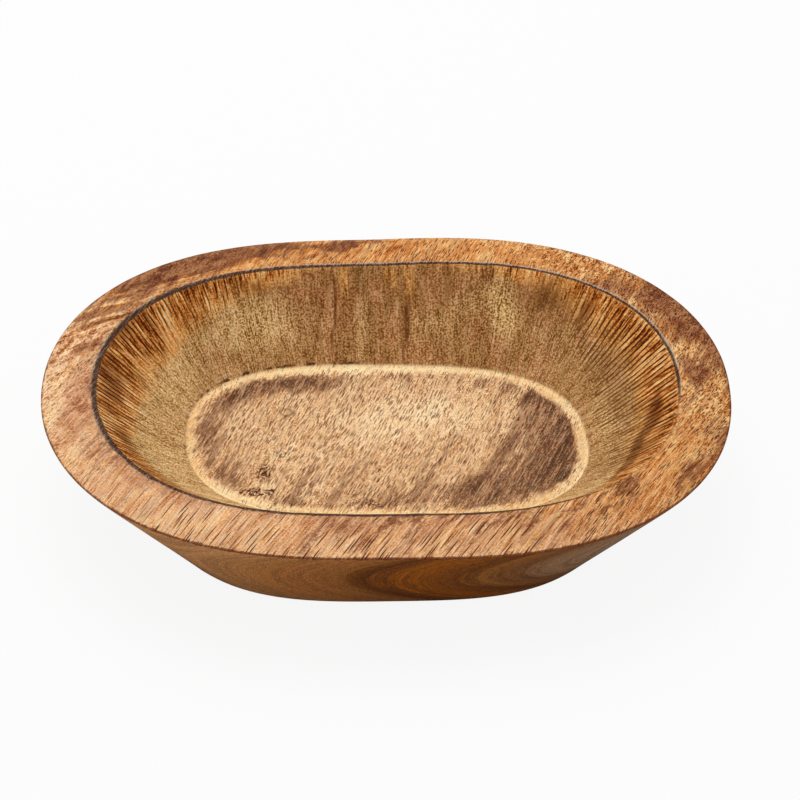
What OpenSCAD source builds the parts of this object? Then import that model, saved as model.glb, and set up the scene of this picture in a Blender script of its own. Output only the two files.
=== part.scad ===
// Dough bowl carved from one block of wood, with a wide sloping rim and a flat oval floor.
// The origin is the middle of the flat base, +X runs along the length and +Z is up.
// Every section of the bowl goes through four corners: base, rim, lip and foot of the inner wall.

/* [Bowl] */
// Length over the rim
bowl_length = 300; // [280:1:340]
// Width over the rim
bowl_width = 213; // [200:1:240]
// Height of the rim above the table, at its inner edge
bowl_height = 55; // [50:0.5:75]

/* [Rim] */
// Width of the rim, seen from above
rim_width = 23.7; // [18:0.1:28]
// Fall of the rim's top from its inner edge to its outer edge
rim_fall = 3.4; // [1:0.1:5]
// Crown of the rim's top above a straight slope
rim_crown = 0.5; // [0:0.1:1.2]
// Radius of the rim's outer edge
rim_edge_radius = 1.5; // [0.6:0.1:2.5]
// Radius of the worn lip along the rim's inner edge
lip_radius = 1.7; // [0.8:0.1:2.5]

/* [Inside] */
// Depth from the rim's inner edge to the foot of the inner wall
inside_depth = 34; // [28:0.5:40]
// Run of the inner wall at the two ends, seen from above
end_wall_run = 38.3; // [30:0.1:46]
// Run of the inner wall at the two long sides, seen from above
side_wall_run = 32.5; // [26:0.1:40]
// Hollow of the inner wall below a straight slope
wall_hollow = 1.4; // [0:0.1:3]
// Width of the tool groove at the foot of the inner wall
groove_width = 1.8; // [1:0.1:3]
// Depth of the tool groove
groove_depth = 0.6; // [0.2:0.1:1]
// Width of the worn band round the floor
band_width = 4.5; // [3:0.1:7]
// Dish of the floor, from the band down to the middle
floor_dish = 1.4; // [0.4:0.1:3]

/* [Outside] */
// Inset of the base from the rim at the two ends
end_base_inset = 50; // [40:0.5:60]
// Inset of the base from the rim at the two long sides
side_base_inset = 26.2; // [18:0.2:34]
// Radius of the edge round the base
base_edge_radius = 2.2; // [1:0.1:4]
// Swell of the outer wall beyond a straight slope
wall_swell = 0.5; // [0:0.1:1.5]

/* [Oval] */
// Squareness of the floor towards its ends, where 2 is an ellipse
floor_end_power = 3.05; // [2:0.05:3.6]
// Squareness of the floor towards its long sides
floor_side_power = 2.45; // [2:0.05:3]
// Squareness of the base towards its ends
base_end_power = 3.2; // [2:0.05:3.6]
// Squareness of the base towards its long sides
base_side_power = 2.4; // [2:0.05:3]

/* [Carving] */
// Wander of the hand carved edges from a true oval
edge_wander = 1; // [0:0.1:2]
// Waviness of the rim's top
top_wander = 0.3; // [0:0.05:0.6]

/* [Hidden] */

// Colour of the oiled wood
wood_colour = "#ab7743";

// Points round the bowl, and the finer samples that space them evenly
round_steps = 120;
fine_steps = 720;
// Steps along each bend, the outer wall, the rim's top, the inner wall and the floor
bend_steps = 3;
outer_steps = 4;
top_steps = 5;
inner_steps = 7;
floor_steps = 5;

// Shares of edge_wander in waves of two and three to the turn: [sin 2, cos 3, sin 3]
rim_wave_shares = [0.85, -0.55, 0.37];
floor_wave_shares = [-1, 0, 0];
// Shares of top_wander in the same waves
top_wave_shares = [0.6, 0.3, -0.5];

// Half sizes of the floor and the base, and their powers along X and Y
floor_half = [bowl_length / 2 - rim_width - end_wall_run, bowl_width / 2 - rim_width - side_wall_run];
base_half = [bowl_length / 2 - end_base_inset, bowl_width / 2 - side_base_inset];
floor_power = [floor_end_power, floor_side_power];
base_power = [base_end_power, base_side_power];

// Height of the wall's foot, which is also the height of the band round the floor
foot_z = bowl_height - inside_depth;

// Vector helpers
function unit(v) = v / norm(v);
function mix(a, b, share) = a + (b - a) * share;
function raise(p, z) = [p.x, p.y, z];

// Point of an oval at turn angle t, and the outward direction there
function oval(t, half, power) = [
    half.x * sign(cos(t)) * pow(abs(cos(t)), 2 / power.x),
    half.y * sign(sin(t)) * pow(abs(sin(t)), 2 / power.y)
];
function oval_out(t, half, power) =
    let (p = oval(t, half, power))
    unit([
        power.x / half.x * sign(p.x) * pow(abs(p.x / half.x), power.x - 1),
        power.y / half.y * sign(p.y) * pow(abs(p.y / half.y), power.y - 1)
    ]);

// Bearing of a turn angle, with the floor's oval drawn as a circle
function bearing(t) =
    let (p = oval(t, floor_half, floor_power))
    atan2(p.y / floor_half.y, p.x / floor_half.x);

// Height of the carved waves at a bearing, as a share of their size
function wave(angle, shares) =
    shares[0] * sin(2 * angle) + shares[1] * cos(3 * angle) + shares[2] * sin(3 * angle);

// Run of the inner wall at a turn angle: long at the ends and short at the sides
function wall_run(t) = mix(side_wall_run, end_wall_run, pow(cos(bearing(t)), 2));

// Plan of the floor's oval moved outwards by a distance
function moved_oval(t, distance) =
    oval(t, floor_half, floor_power) + distance * oval_out(t, floor_half, floor_power);

// Plans of the rim's outer edge, the lip and the foot of the inner wall
function rim_plan(t) = moved_oval(t, wall_run(t) + rim_width + edge_wander * wave(bearing(t), rim_wave_shares));
function lip_plan(t) = moved_oval(t, wall_run(t) + edge_wander * wave(bearing(t), rim_wave_shares));
function floor_plan(t, inset) = moved_oval(t, edge_wander * wave(bearing(t), floor_wave_shares) - inset);

// Turn angles that lie evenly along the lip
function path_lengths(points) = [
    for (
        i = 0, run = 0;
        i < len(points);
        run = run + norm(points[min(i + 1, len(points) - 1)] - points[i]), i = i + 1
    ) run
];
fine_turns = [for (i = [0:fine_steps]) 360 * i / fine_steps];
fine_runs = path_lengths([for (t = fine_turns) lip_plan(t)]);
turn_table = [for (i = [0:fine_steps]) [fine_runs[i], fine_turns[i]]];
turns = [for (i = [0:round_steps - 1]) lookup(fine_runs[fine_steps] * i / round_steps, turn_table)];

// Middle of the rim's plan, which the base lies under
rim_edge = [for (t = fine_turns) rim_plan(t)];
rim_xs = [for (p = rim_edge) p.x];
rim_ys = [for (p = rim_edge) p.y];
middle = [(max(rim_xs) + min(rim_xs)) / 2, (max(rim_ys) + min(rim_ys)) / 2];

// The corners of a section at a turn angle
function top_wave(t) = top_wander * wave(bearing(t), top_wave_shares);
function base_corner(t, inset = 0) =
    raise(oval(t, base_half, base_power) - inset * oval_out(t, base_half, base_power), 0);
function rim_corner(t) = raise(rim_plan(t) - middle, bowl_height - rim_fall + top_wave(t));
function lip_corner(t) = raise(lip_plan(t) - middle, bowl_height + top_wave(t));
function foot_corner(t) = raise(floor_plan(t, 0) - middle, foot_z);

// Bend that rounds a corner, tangent to both of its sides
function bend(before, corner, after, radius) =
    let (
        start = corner + radius * unit(before - corner),
        end = corner + radius * unit(after - corner)
    )
    [
        for (i = [0:bend_steps])
            let (s = i / bend_steps)
            mix(mix(start, corner, s), mix(corner, end, s), s)
    ];

// Points between two corners, bowed by a vector at the middle of the way
function bowed(start, end, bow, steps) = [
    for (i = [1:steps - 1])
        let (s = i / steps)
        mix(start, end, s) + 4 * s * (1 - s) * bow
];

// Floor inside the wall's foot: groove, band and dish, from the edge to the middle
function floor_points(t) =
    let (
        rim_of_dish = floor_plan(t, groove_width + band_width) - middle,
        dish = [
            for (i = [0:floor_steps - 1])
                let (s = 1 - i / floor_steps)
                raise(s * rim_of_dish - (1 - s) * middle, foot_z - floor_dish * (1 - s * s))
        ]
    )
    concat(
        [
            foot_corner(t),
            raise(floor_plan(t, groove_width / 2) - middle, foot_z - groove_depth),
            raise(floor_plan(t, groove_width) - middle, foot_z)
        ],
        dish
    );

// One section of the bowl, from under the base up over the rim and down to the floor
function section(t) =
    let (
        outward = raise(oval_out(t, floor_half, floor_power), 0),
        base = base_corner(t),
        rim = rim_corner(t),
        lip = lip_corner(t),
        foot = foot_corner(t)
    )
    concat(
        bend(base_corner(t, base_edge_radius), base, rim, base_edge_radius),
        bowed(base, rim, wall_swell * outward, outer_steps),
        bend(base, rim, lip, rim_edge_radius),
        bowed(rim, lip, [0, 0, rim_crown], top_steps),
        bend(rim, lip, foot, lip_radius),
        bowed(lip, foot, [0, 0, -wall_hollow], inner_steps),
        floor_points(t)
    );

// The whole block: a skin over all the sections, a flat base and a point in the middle of the floor
module bowl() {
    sections = [for (t = turns) section(t)];
    per_section = len(sections[0]);
    points = concat(
        [for (s = sections) each s],
        [raise(-middle, foot_z - floor_dish)]
    );
    middle_point = round_steps * per_section;
    base_face = [for (i = [0:round_steps - 1]) i * per_section];
    skin = [
        for (i = [0:round_steps - 1])
            for (j = [0:per_section - 2])
                let (
                    here = i * per_section + j,
                    next = ((i + 1) % round_steps) * per_section + j
                )
                each [[here, here + 1, next + 1], [here, next + 1, next]]
    ];
    floor_fan = [
        for (i = [0:round_steps - 1])
            [
                (i + 1) * per_section - 1,
                middle_point,
                ((i + 1) % round_steps + 1) * per_section - 1
            ]
    ];
    color(wood_colour)
        polyhedron(points = points, faces = concat([base_face], skin, floor_fan), convexity = 4);
}

bowl();
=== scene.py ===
"""Looks of a dough bowl that is carved from one block of wood.

The bowl's surface is worked out again from the same corners as the solid, on a much finer grid, and
carved a little deeper with tool marks. One wood material dresses it, led by attributes that say where
each part of the surface lies and how the grain runs there. All sizes are in metres.
"""

import logging
import math
from dataclasses import dataclass, field
from enum import Enum
from typing import Any

import bpy
import numpy as np
from mathutils import Matrix, Vector


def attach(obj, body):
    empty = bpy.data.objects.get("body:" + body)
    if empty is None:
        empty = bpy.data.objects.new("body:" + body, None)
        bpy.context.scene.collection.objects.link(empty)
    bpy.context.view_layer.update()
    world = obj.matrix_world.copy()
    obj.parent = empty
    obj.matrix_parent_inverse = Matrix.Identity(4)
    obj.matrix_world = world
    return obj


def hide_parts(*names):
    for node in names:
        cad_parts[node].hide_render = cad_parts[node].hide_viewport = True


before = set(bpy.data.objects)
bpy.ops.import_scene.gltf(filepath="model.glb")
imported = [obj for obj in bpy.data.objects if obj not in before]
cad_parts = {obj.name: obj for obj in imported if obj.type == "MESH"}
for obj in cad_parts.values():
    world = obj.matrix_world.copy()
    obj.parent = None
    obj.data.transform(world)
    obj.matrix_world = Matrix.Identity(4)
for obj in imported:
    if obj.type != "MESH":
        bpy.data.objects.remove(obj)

logging.basicConfig(level=logging.INFO, format="%(message)s")
LOG = logging.getLogger("dough_bowl")

MM = 0.001
TURN = 2 * math.pi
Triple = tuple[float, float, float]
Paint = tuple[float, float, float, float]
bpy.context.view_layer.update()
HASH_PRIMES = np.array([73856093, 19349663, 83492791])
HASH_SEED = 2654435761
HASH_MIX = 1274126177
KNOT = (-43.7 * MM, 19.7 * MM, 0.0)


class Part(Enum):
    """Places along a section of the bowl, from the middle of the base to the middle of the floor."""

    BASE = 1.0
    RIM_EDGE = 2.0
    LIP = 3.0
    FOOT = 4.0
    BAND = 5.0
    MIDDLE = 6.0


def unit(vectors: np.ndarray) -> np.ndarray:
    """Vectors divided by their own lengths.

    Args:
        vectors: array whose last axis holds the coordinates.

    Returns:
        An array of the same shape, with unit vectors.
    """
    length = np.linalg.norm(vectors, axis=-1, keepdims=True)
    return vectors / np.maximum(length, 1e-12)


def smooth(values: np.ndarray, low: float, high: float) -> np.ndarray:
    """Smooth step: 0 below low, 1 above high, and 3 s^2 - 2 s^3 between them.

    Args:
        values: numbers to grade.
        low: value at which the step starts.
        high: value at which it is complete.

    Returns:
        Shares from 0 to 1, in the shape of values.
    """
    share = np.clip((values - low) / (high - low), 0, 1)
    return share * share * (3 - 2 * share)


def lumps(points: np.ndarray, cell: float, seed: int) -> np.ndarray:
    """Smooth random lumps: random heights at the corners of cubic cells, blended smoothly between.

    Args:
        points: positions, with three coordinates on the last axis.
        cell: size of a cell, which is about the size of a lump.
        seed: number that picks the random heights.

    Returns:
        Heights from -1 to 1, one for each position.
    """
    scaled = points / cell
    corner = np.floor(scaled).astype(np.int64)
    share = scaled - corner
    share = share * share * (3 - 2 * share)
    total = np.zeros(points.shape[:-1])
    for step in np.ndindex(2, 2, 2):
        at = corner + np.array(step)
        mixed = np.bitwise_xor.reduce(at * HASH_PRIMES, axis=-1) ^ seed * HASH_SEED
        mixed = (mixed ^ (mixed >> 13)) * HASH_MIX & 0xFFFFFFFF
        mixed = (mixed ^ (mixed >> 16)) & 0xFFFF
        weight = np.prod(np.where(np.array(step) == 1, share, 1 - share), axis=-1)
        total += weight * (mixed / 32767.5 - 1)
    return total


@dataclass(frozen=True)
class Oval:
    """A squared oval, |x / half_x|^power_x + |y / half_y|^power_y = 1."""

    half_x: float
    half_y: float
    power_x: float
    power_y: float

    def points(self, turns: np.ndarray) -> np.ndarray:
        """Points at turn angles: x = half_x c^(2 / power_x), y = half_y s^(2 / power_y), signs kept.

        Args:
            turns: angles in radians.

        Returns:
            Plan positions, with two coordinates each.
        """
        cos, sin = np.cos(turns), np.sin(turns)
        x = self.half_x * np.sign(cos) * np.abs(cos) ** (2 / self.power_x)
        y = self.half_y * np.sign(sin) * np.abs(sin) ** (2 / self.power_y)
        return np.stack([x, y], axis=-1)

    def outward(self, turns: np.ndarray) -> np.ndarray:
        """Outward directions at turn angles, along the gradient of the oval's equation.

        Args:
            turns: angles in radians.

        Returns:
            Unit vectors in plan.
        """
        x, y = np.moveaxis(self.points(turns), -1, 0)
        along_x = self.power_x / self.half_x * np.sign(x) * np.abs(x / self.half_x) ** (self.power_x - 1)
        along_y = self.power_y / self.half_y * np.sign(y) * np.abs(y / self.half_y) ** (self.power_y - 1)
        return unit(np.stack([along_x, along_y], axis=-1))


@dataclass
class BowlForm:
    """The bowl's sections, from the same sizes and corners as the solid's source."""

    length: float = 300 * MM
    width: float = 213 * MM
    height: float = 55 * MM
    rim_width: float = 23.7 * MM
    rim_fall: float = 3.4 * MM
    rim_crown: float = 0.5 * MM
    rim_edge_radius: float = 1.5 * MM
    lip_radius: float = 1.7 * MM
    inside_depth: float = 34 * MM
    end_wall_run: float = 38.3 * MM
    side_wall_run: float = 32.5 * MM
    wall_hollow: float = 1.4 * MM
    groove_width: float = 1.8 * MM
    groove_depth: float = 0.6 * MM
    band_width: float = 4.5 * MM
    floor_dish: float = 1.4 * MM
    end_base_inset: float = 50 * MM
    side_base_inset: float = 26.2 * MM
    base_edge_radius: float = 2.2 * MM
    wall_swell: float = 0.5 * MM
    edge_wander: float = 1 * MM
    top_wander: float = 0.3 * MM
    floor_powers: tuple[float, float] = (3.05, 2.45)
    base_powers: tuple[float, float] = (3.2, 2.4)
    rim_waves: Triple = (0.85, -0.55, 0.37)
    floor_waves: Triple = (-1.0, 0.0, 0.0)
    top_waves: Triple = (0.6, 0.3, -0.5)
    columns: int = 960
    turns: np.ndarray = field(init=False)
    bearing: np.ndarray = field(init=False)
    middle: np.ndarray = field(init=False)

    def __post_init__(self) -> None:
        """Works out the evenly spaced turn angles and the middle of the rim."""
        self.floor_oval = Oval(
            self.length / 2 - self.rim_width - self.end_wall_run,
            self.width / 2 - self.rim_width - self.side_wall_run,
            *self.floor_powers,
        )
        self.base_oval = Oval(
            self.length / 2 - self.end_base_inset,
            self.width / 2 - self.side_base_inset,
            *self.base_powers,
        )
        fine = np.linspace(0, TURN, 7201)
        lip = self.lip_plan(fine)
        runs = np.concatenate([[0], np.cumsum(np.linalg.norm(np.diff(lip, axis=0), axis=1))])
        self.girth = runs[-1]
        self.turns = np.interp(np.arange(self.columns) / self.columns * self.girth, runs, fine)
        self.bearing = self.bearings(self.turns)
        edge = self.rim_plan(fine)
        self.middle = (edge.max(axis=0) + edge.min(axis=0)) / 2

    def bearings(self, turns: np.ndarray) -> np.ndarray:
        """Directions from the middle, with the floor's oval drawn as a circle.

        Args:
            turns: angles in radians.

        Returns:
            Bearings in radians.
        """
        x, y = np.moveaxis(self.floor_oval.points(turns), -1, 0)
        return np.arctan2(y / self.floor_oval.half_y, x / self.floor_oval.half_x)

    def wave(self, turns: np.ndarray, shares: Triple) -> np.ndarray:
        """Slow waves round the bowl: shares of sin 2b, cos 3b and sin 3b at bearing b.

        Args:
            turns: angles in radians.
            shares: the three shares.

        Returns:
            Heights as shares of the wave's size.
        """
        at = self.bearings(turns)
        return shares[0] * np.sin(2 * at) + shares[1] * np.cos(3 * at) + shares[2] * np.sin(3 * at)

    def moved_oval(self, turns: np.ndarray, distance: np.ndarray) -> np.ndarray:
        """The floor's oval moved outwards by a distance at each turn angle.

        Args:
            turns: angles in radians.
            distance: how far each point moves.

        Returns:
            Plan positions.
        """
        return self.floor_oval.points(turns) + distance[:, None] * self.floor_oval.outward(turns)

    def wall_run(self, turns: np.ndarray) -> np.ndarray:
        """Run of the inner wall: from the side's to the end's, by the bearing's squared cosine."""
        share = np.cos(self.bearings(turns)) ** 2
        return self.side_wall_run + (self.end_wall_run - self.side_wall_run) * share

    def wander(self, turns: np.ndarray) -> np.ndarray:
        """How far the rim wanders outwards at turn angles."""
        return self.edge_wander * self.wave(turns, self.rim_waves)

    def lip_plan(self, turns: np.ndarray) -> np.ndarray:
        """Plan of the rim's inner edge."""
        return self.moved_oval(turns, self.wall_run(turns) + self.wander(turns))

    def rim_plan(self, turns: np.ndarray) -> np.ndarray:
        """Plan of the rim's outer edge."""
        return self.moved_oval(turns, self.wall_run(turns) + self.rim_width + self.wander(turns))

    def floor_plan(self, inset: float) -> np.ndarray:
        """Plan of the wall's foot, drawn in by an inset."""
        wander = self.edge_wander * self.wave(self.turns, self.floor_waves)
        return self.moved_oval(self.turns, wander - inset)

    def placed(self, plan: np.ndarray, z: Any) -> np.ndarray:
        """Plan positions centred under the rim and raised to a height.

        Args:
            plan: plan positions.
            z: height of all of them, or one height each.

        Returns:
            Positions with three coordinates.
        """
        heights = np.broadcast_to(z, plan.shape[0])
        return np.concatenate([plan - self.middle, heights[:, None]], axis=1)

    def base_ring(self, inset: float) -> np.ndarray:
        """Ring on the flat base, drawn in from its edge by an inset."""
        plan = self.base_oval.points(self.turns) - inset * self.base_oval.outward(self.turns)
        return np.concatenate([plan, np.zeros((self.columns, 1))], axis=1)

    def rows(self) -> tuple[np.ndarray, np.ndarray]:
        """All rings of the bowl, from under the base, over the rim, to round the floor's middle.

        Returns:
            Positions by row and column, and each row's place along the section.
        """
        foot_z = self.height - self.inside_depth
        top = self.top_wander * self.wave(self.turns, self.top_waves)
        base = self.base_ring(0)
        rim = self.placed(self.rim_plan(self.turns), self.height - self.rim_fall + top)
        lip = self.placed(self.lip_plan(self.turns), self.height + top)
        foot = self.placed(self.floor_plan(0), foot_z)
        band = self.floor_plan(self.groove_width + self.band_width)
        outward = np.concatenate([self.floor_oval.outward(self.turns), np.zeros((self.columns, 1))], axis=1)
        made: list[tuple[float, np.ndarray]] = [(0.5, self.base_ring(6 * self.base_edge_radius))]
        made += bend(self.base_ring(self.base_edge_radius), base, rim, self.base_edge_radius, 5, Part.BASE)
        made += bowed(base, rim, self.wall_swell * outward, (0.055, 0.96), 10, Part.BASE)
        made += bend(base, rim, lip, self.rim_edge_radius, 7, Part.RIM_EDGE)
        made += bowed(rim, lip, np.array([0, 0, self.rim_crown]), (0.085, 0.905), 11, Part.RIM_EDGE)
        made += bend(rim, lip, foot, self.lip_radius, 9, Part.LIP)
        made += bowed(lip, foot, np.array([0, 0, -self.wall_hollow]), (0.055, 0.97), 24, Part.LIP)
        for share in np.linspace(0, 1, 5):
            sunk = self.groove_depth * math.sin(math.pi * share)
            ring = self.placed(self.floor_plan(share * self.groove_width), foot_z - sunk)
            made.append((Part.FOOT.value + 0.25 * share, ring))
        for share in (0.25, 0.5, 0.75):
            inset = self.groove_width + share * self.band_width
            made.append((4.25 + 0.75 * share, self.placed(self.floor_plan(inset), foot_z)))
        for share in np.linspace(1, 0.03, 28):
            ring = self.placed(share * band, foot_z - self.floor_dish * (1 - share * share))
            made.append((Part.MIDDLE.value - share, ring))
        return np.stack([ring for _, ring in made]), np.array([place for place, _ in made])


def bend(
    before: np.ndarray, corner: np.ndarray, after: np.ndarray, radius: float, steps: int, part: Part
) -> list[tuple[float, np.ndarray]]:
    """Rings that round a corner: a quadratic curve tangent to both sides, a radius away from the corner.

    Args:
        before: ring on the side that comes first.
        corner: ring of the corner itself.
        after: ring on the side that follows.
        radius: distance from the corner at which the curve starts and ends.
        steps: number of rings.
        part: which corner of the section this is.

    Returns:
        Pairs of a place along the section and a ring.
    """
    start = corner + radius * unit(before - corner)
    end = corner + radius * unit(after - corner)
    made = []
    for share in np.linspace(0, 1, steps):
        first = start + share * (corner - start)
        second = corner + share * (end - corner)
        made.append((part.value + 0.04 * (share - 0.5), first + share * (second - first)))
    return made


def bowed(
    start: np.ndarray, end: np.ndarray, bow: np.ndarray, span: tuple[float, float], count: int, part: Part
) -> list[tuple[float, np.ndarray]]:
    """Rings between two corners, bowed by 4 s (1 - s) of a vector at share s of the way.

    Args:
        start: ring at the first corner.
        end: ring at the second corner.
        bow: vector by which the middle of the way is moved.
        span: shares of the first and last ring, clear of both bends.
        count: number of rings.
        part: the first corner.

    Returns:
        Pairs of a place along the section and a ring.
    """
    shares = np.linspace(span[0], span[1], count)
    return [(part.value + s, start + s * (end - start) + 4 * s * (1 - s) * bow) for s in shares]


@dataclass(frozen=True)
class Course:
    """A value that changes round the bowl, given at bearings in degrees from the right over the back."""

    stops: tuple[tuple[float, float], ...]

    def at(self, bearing: np.ndarray) -> np.ndarray:
        """The value at bearings, in straight steps between the stops, round and round.

        Args:
            bearing: bearings in radians.

        Returns:
            One value for each bearing.
        """
        degrees = np.degrees(bearing) % 360
        places = [stop[0] for stop in self.stops]
        values = [stop[1] for stop in self.stops]
        return np.interp(degrees, places, values, period=360)


@dataclass(frozen=True)
class Patch:
    """A soft patch of stain or tone, at a place in plan, longer one way than the other."""

    x: float
    y: float
    long: float
    wide: float
    turn: float
    strength: float

    def amount(self, plan: np.ndarray) -> np.ndarray:
        """Strength of the patch, which fades as exp(-r^3) with the distance r in patch sizes.

        Args:
            plan: plan positions in metres.

        Returns:
            One strength for each position.
        """
        angle = math.radians(self.turn)
        x = plan[..., 0] / MM - self.x
        y = plan[..., 1] / MM - self.y
        along = (x * math.cos(angle) + y * math.sin(angle)) / self.long
        across = (y * math.cos(angle) - x * math.sin(angle)) / self.wide
        return self.strength * np.exp(-((along**2 + across**2) ** 1.5))


def patches(*rows: tuple[float, ...]) -> tuple[Patch, ...]:
    """Patches from rows of their six values."""
    return tuple(Patch(*row) for row in rows)


def patched(plan: np.ndarray, several: tuple[Patch, ...]) -> np.ndarray:
    """Sum of several patches.

    Args:
        plan: plan positions in metres.
        several: the patches to add up.

    Returns:
        One strength for each position.
    """
    return sum((patch.amount(plan) for patch in several), np.zeros(plan.shape[:-1]))


# Where the wood is stained or pale, some pale patches on the inner wall being painted light: x, y, half
# length and half width in millimetres, turn, strength
FLOOR_DARK = patches(
    (-36, 37, 12, 5, 6, 0.62), (-28, 39, 6, 4, 0, 0.5), (-64, 33, 12, 6, 40, 0.75),
    (-48, 33, 14, 5, 12, 0.4), (-77, 6, 5, 12, 0, 0.28), (-66, -22, 8, 12, -21, 0.3),
    (76, 2, 7, 20, 2, 0.7), (62, -22, 14, 10, 36, 0.65), (58, 4, 5, 26, -22, 0.6),
    (66, 14, 4, 18, -21, 0.5), (47, -20, 6, 24, -22, 0.9), (40, -31, 8, 8, 60, 0.6),
    (48, 12, 3, 24, -21, 0.35), (33, -32, 5, 14, -24, 0.75), (30, 2, 4, 26, -21, 0.2),
    (16, -24, 4, 16, -21, 0.4), (3, -30, 4, 14, -21, 0.4), (-10, -24, 10, 12, -21, 0.25),
    (-22, -30, 5, 16, -24, 0.3), (-38, -30, 3, 14, -24, 0.6), (-44, -38, 8, 4, -21, 0.5),
    (68, 30, 4, 9, -24, 0.7), (57, 37, 2.5, 7, -24, 0.8), (44, 39, 2, 6, -24, 0.5),
    (8, 42, 16, 3, 0, 0.2), (-9, -38, 14, 7, 0, 0.45), (20, -34, 18, 7, 0, 0.45),
)
FLOOR_PALE = patches(
    (8, 14, 26, 14, 12, 0.8), (36, 22, 12, 14, 0, 0.4), (-68, -38, 14, 6, -28, 0.9),
    (-44, -4, 6, 8, -21, 0.3), (62, 9, 1.7, 22, -20, 0.75), (51, -14, 2.2, 15, -19, 0.75),
    (56, 17, 1.8, 12, -21, 0.6), (41, -4, 1.8, 22, -21, 0.4), (-52, -28, 3, 10, -21, 0.5),
    (0, 47, 62, 3.5, 0, 0.7), (-87, 0, 6, 40, 0, -0.35),
)
RIM_DARK = patches(
    (-123, 51, 16, 2.2, 14, 0.75), (-127, 42.5, 12, 2, 12, 0.6), (-113, 62, 16, 2, 12, 0.55),
    (-96, 79, 4, 13, 4, 1.1), (-108, 74, 12, 9, 40, 0.75), (-82, 84, 10, 7, 20, 0.95),
    (-60, 95.5, 15, 6, 6, 1.25), (-75, 89, 22, 10, 18, 0.6), (-38, 99, 12, 3.5, 2, 0.7),
    (-17, 99, 9, 5, 14, 1.1), (1, 103, 14, 3, 0, 0.7), (-30, 90, 22, 8, 0, 0.4),
    (-131, 25, 8, 2.6, 24, 0.8), (-145, 18, 4, 2, 0, 0.8), (-131, 60, 14, 3, 50, 0.3),
    (125, 69, 10, 5, -42, 0.8), (139, 41, 17, 9, -62, 1.35), (131, 31, 9, 8, 0, 0.7),
    (147, 17, 14, 4, -80, 0.9), (134, 3, 8, 7, 0, 0.7), (131, 11, 7, 3, -80, 0.5),
    (119, 43, 8, 4, -45, 0.5), (148, -10, 14, 2, 90, 0.45), (142, -36, 16, 2.5, 65, 0.7),
    (124, -60, 16, 4, 48, 0.75), (77, 90, 6, 3, -20, 0.4), (99, 68, 7, 3, -35, 0.5),
    (-24, -89, 5, 9, -33, 0.6), (-38, -97, 4, 9, -33, 0.55), (0, -86, 9, 5, 0, 0.5),
    (22, -84, 8, 5, 0, 0.45), (52, -86, 8, 8, -33, 0.35), (97, -68, 14, 7, -33, 0.45),
    (-70, 91, 36, 12, 18, 0.6), (-12, -94, 3, 14, -33, 0.6), (8, -92, 4, 14, -33, 0.45),
    (34, -94, 3, 14, -33, 0.5), (72, -84, 3, 14, -33, 0.5), (128, 54, 14, 9, -50, 0.75),
    (136, 12, 9, 12, 0, 0.5), (138, -24, 12, 22, -10, 0.12), (86, -78, 34, 11, 34, 0.24),
    (-112, 64, 34, 14, 36, 0.35), (112, 66, 22, 8, -36, 0.52), (-120, -38, 30, 14, -62, 0.3),
    (-74, -86, 34, 12, -24, -0.3), (30, 98, 36, 10, 0, -0.3),
)
RIM_ROSE = patches(
    (-132, -10, 9, 30, 0, 0.9), (-104, -60, 30, 5, -38, 0.8), (-60, -80, 26, 3.5, -14, 0.35),
    (-5, -88, 34, 7, 0, 0.6), (45, -84, 26, 6, 8, 0.4), (-126, 32, 12, 6, 50, 0.5),
)
WALL_DARK = patches(
    (-120, 4, 6, 22, 0, 0.7), (-112, -28, 4, 12, 24, 0.5), (-114, 40, 16, 4, 58, 0.6),
    (-84, 71, 9, 3, 22, 0.5), (-72, 74, 8, 3, 15, 0.35), (-60, 71, 14, 2.5, 6, 0.4),
    (-21.5, 70, 1.3, 13, -3, 1), (-9, 74, 3, 7, 0, 0.4), (13, 66, 1.5, 16, -6, 0.7),
    (30, 66, 2, 14, -6, 0.3), (116, -6, 8, 2.2, 70, 1.1), (110, -23, 10, 2.4, 62, 1.1),
    (100, -40, 14, 2.6, 56, 1.1), (106, -30, 18, 7, 60, 0.3), (90, 60, 6, 5, -20, 0.5),
    (74, 70, 10, 6, -12, 0.55), (100, 34, 8, 8, 0, 0.35), (58, 50, 10, 5, -10, 0.2),
)
WALL_ORANGE = patches(
    (4.5, 79, 4, 4, 0, 0.45), (13.6, 78, 2.5, 7, 0, 0.45), (-17, 76, 3, 5, 0, 0.4),
    (68, 79, 12, 3, -8, 0.8), (-45, 80, 10, 4, 0, 0.3),
)
# Pale patches on the inner wall: partly paler wood, partly painted light on the left and front walls
WALL_PALE_AND_LIT = patches(
    (56, 67, 6, 10, 0, 1), (46, 72, 14, 5, 0, 0.4), (24, 64, 12, 6, 0, 0.45), (-8, 66, 2.5, 16, 0, 0.5),
    (-60, 62, 22, 9, 8, 0.8), (-94, 30, 14, 8, 60, 0.5), (-104, -24, 12, 8, 70, 0.6),
    (-80, -46, 24, 8, -38, 0.7), (92, -46, 20, 7, 42, 0.6), (96, 6, 5, 16, 0, 0.3),
)
RIM_BANDED = patches((-122, 46, 26, 22, 40, 1), (-84, 78, 26, 12, 24, 0.6))
PIECES_TORN = patches(
    (-57.8, -32.5, 8, 2.8, 6, 1.6), (-53.2, -20, 2.8, 6, -12, 1.5), (-45, -7, 5, 4, 0, 0.6),
    (-9, -41, 6, 3, 0, 0.8), (8, -40, 8, 3, 0, 0.5),
)

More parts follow.
